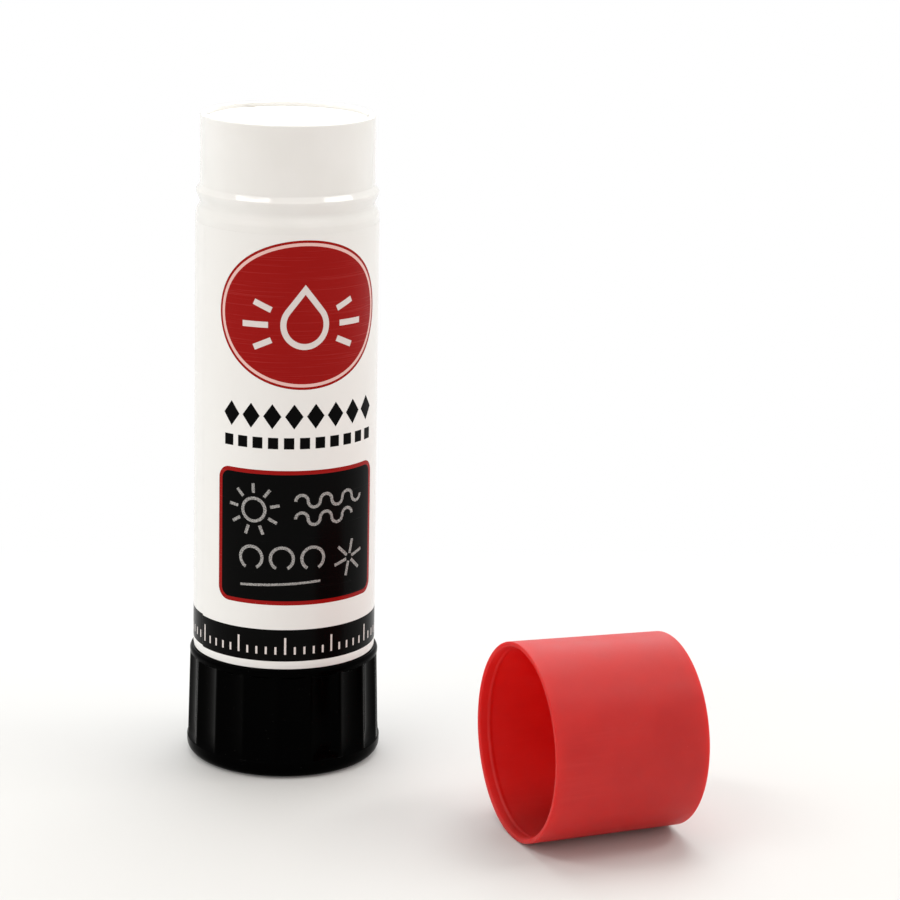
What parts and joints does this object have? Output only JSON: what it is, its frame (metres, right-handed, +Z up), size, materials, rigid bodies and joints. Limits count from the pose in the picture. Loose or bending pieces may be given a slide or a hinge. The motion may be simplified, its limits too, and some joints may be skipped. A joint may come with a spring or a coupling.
{
  "type": "glue stick",
  "caption": "Twist-up glue stick: fluted knob, screw spindle, threaded carrier and glue in a white barrel with a printed film, and a snap cap lying off beside it.",
  "frame": {"origin": "centre of the knob's flat foot, on the surface that the stick stands on", "axes": "+Z up the stick's axis; the cap lies towards +X and -Y, and the label's front faces -Y"},
  "size_m": [0.0836, 0.0742, 0.1099],
  "materials": {
    "white_plastic": "injection-moulded white polypropylene, low gloss on the neck",
    "label_film": "white printed film with a gloss varnish",
    "black_plastic": "glossy black polypropylene",
    "natural_plastic": "undyed moulded polyethylene",
    "glue": "waxy white adhesive",
    "red_plastic": "satin red polypropylene, slightly translucent"
  },
  "bodies": {
    "barrel": {"barrel": "white_plastic", "barrel_label": "label_film"},
    "winder": {"winder_knob": "black_plastic", "spindle": "natural_plastic"},
    "carriage": {"glue_carrier": "natural_plastic", "glue_stick": "glue"},
    "cap": {"cap": "red_plastic"}
  },
  "joints": [
    {"name": "knob_spin", "type": "hinge", "parent": "barrel", "child": "winder", "pos_m": [0, 0, 0], "axis": [0, 0, 1], "range_deg": [0, 6120.01]},
    {"name": "carriage_lift", "type": "slide", "parent": "barrel", "child": "carriage", "axis": [0, 0, 1], "range_m": [0, 0.068]},
    {"name": "cap_lift", "type": "slide", "parent": "barrel", "child": "cap", "axis": [0, 0, 1], "range_m": [0, 0.12]}
  ],
  "couplings": [
    {"joint": "knob_spin", "follows": "carriage_lift", "rad_per_m": 1570.8}
  ]
}
